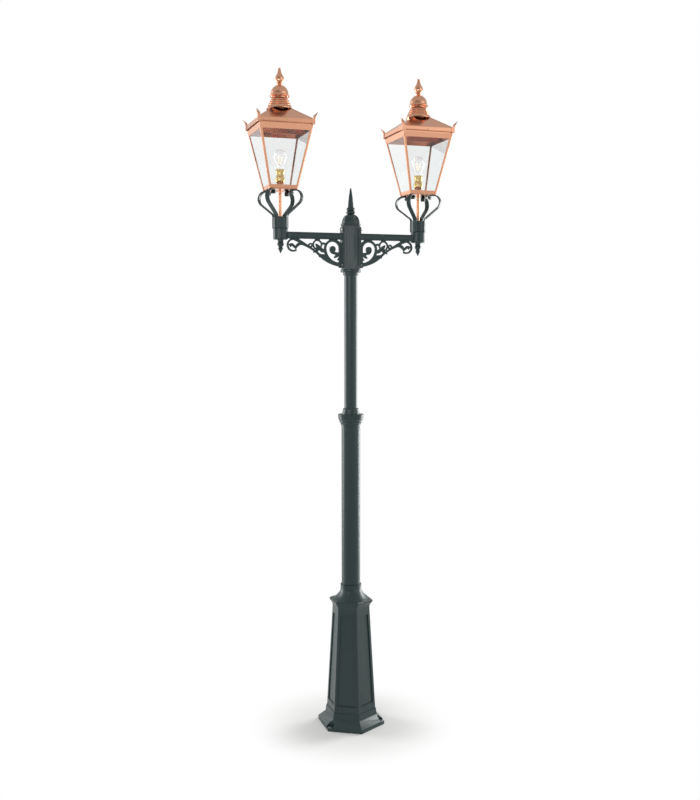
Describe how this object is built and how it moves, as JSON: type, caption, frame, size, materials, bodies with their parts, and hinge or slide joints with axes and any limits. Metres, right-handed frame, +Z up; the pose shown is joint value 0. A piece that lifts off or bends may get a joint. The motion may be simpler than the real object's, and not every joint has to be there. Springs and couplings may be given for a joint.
{
  "type": "twin head lamp post",
  "caption": "Twin head lamp post with a hexagonal pedestal, a stepped tubular column, scroll arms and square copper lanterns with hinged roofs.",
  "frame": {"origin": "middle of the pedestal's underside, on the ground", "axes": "+Z up the column, +X along the right arm, -Y towards the viewer's side with the lock screws"},
  "size_m": [0.9192, 0.314, 2.961],
  "materials": {
    "post_paint": "satin dark green-grey powder coat on cast and tubular aluminium",
    "copper": "polished copper sheet, lacquered",
    "brass": "turned and polished",
    "steel": "zinc plated",
    "pane_glass": "clear, flat",
    "bulb_glass": "clear, blown thin",
    "filament": "lit, warm"
  },
  "bodies": {
    "post": {"pedestal": "post_paint", "anchor_bushes": "steel", "lower_tube": "post_paint", "reducing_collar": "post_paint", "upper_tube": "post_paint", "head_hub": "post_paint", "head_cap": "post_paint", "spike_finial": "post_paint", "neck_screws": "post_paint", "arm_left": "post_paint", "arm_screws_left": "steel", "pendant_left": "post_paint", "frog_left": "post_paint", "down_tube_left": "copper", "tube_locknut_left": "brass", "floor_tray_left": "copper", "lantern_frame_left": "copper", "hinge_pin_left": "brass", "lampholder_left": "brass", "lampholder_ring_left": "brass", "bulb_cap_left": "brass", "bulb_glass_left": "bulb_glass", "bulb_filament_left": "filament", "pane_front_left": "pane_glass", "pane_rear_left": "pane_glass", "pane_inner_left": "pane_glass", "pane_outer_left": "pane_glass", "arm_right": "post_paint", "arm_screws_right": "steel", "pendant_right": "post_paint", "frog_right": "post_paint", "down_tube_right": "copper", "tube_locknut_right": "brass", "floor_tray_right": "copper", "lantern_frame_right": "copper", "hinge_pin_right": "brass", "lampholder_right": "brass", "lampholder_ring_right": "brass", "bulb_cap_right": "brass", "bulb_glass_right": "bulb_glass", "bulb_filament_right": "filament", "pane_front_right": "pane_glass", "pane_rear_right": "pane_glass", "pane_inner_right": "pane_glass", "pane_outer_right": "pane_glass"},
    "roof_left": {"roof_left": "copper", "horns_left": "copper", "chimney_drum_left": "copper", "chimney_bell_left": "copper", "dome_cap_left": "copper", "finial_left": "copper", "lock_screw_left": "brass"},
    "roof_right": {"roof_right": "copper", "horns_right": "copper", "chimney_drum_right": "copper", "chimney_bell_right": "copper", "dome_cap_right": "copper", "finial_right": "copper", "lock_screw_right": "brass"}
  },
  "joints": [
    {"name": "roof_left_hinge", "type": "hinge", "parent": "post", "child": "roof_left", "pos_m": [-0.325, 0.1268, 2.7138], "axis": [-1, 0, 0], "range_deg": [0, 100]},
    {"name": "roof_right_hinge", "type": "hinge", "parent": "post", "child": "roof_right", "pos_m": [0.325, 0.1268, 2.7138], "axis": [-1, 0, 0], "range_deg": [0, 100]}
  ]
}
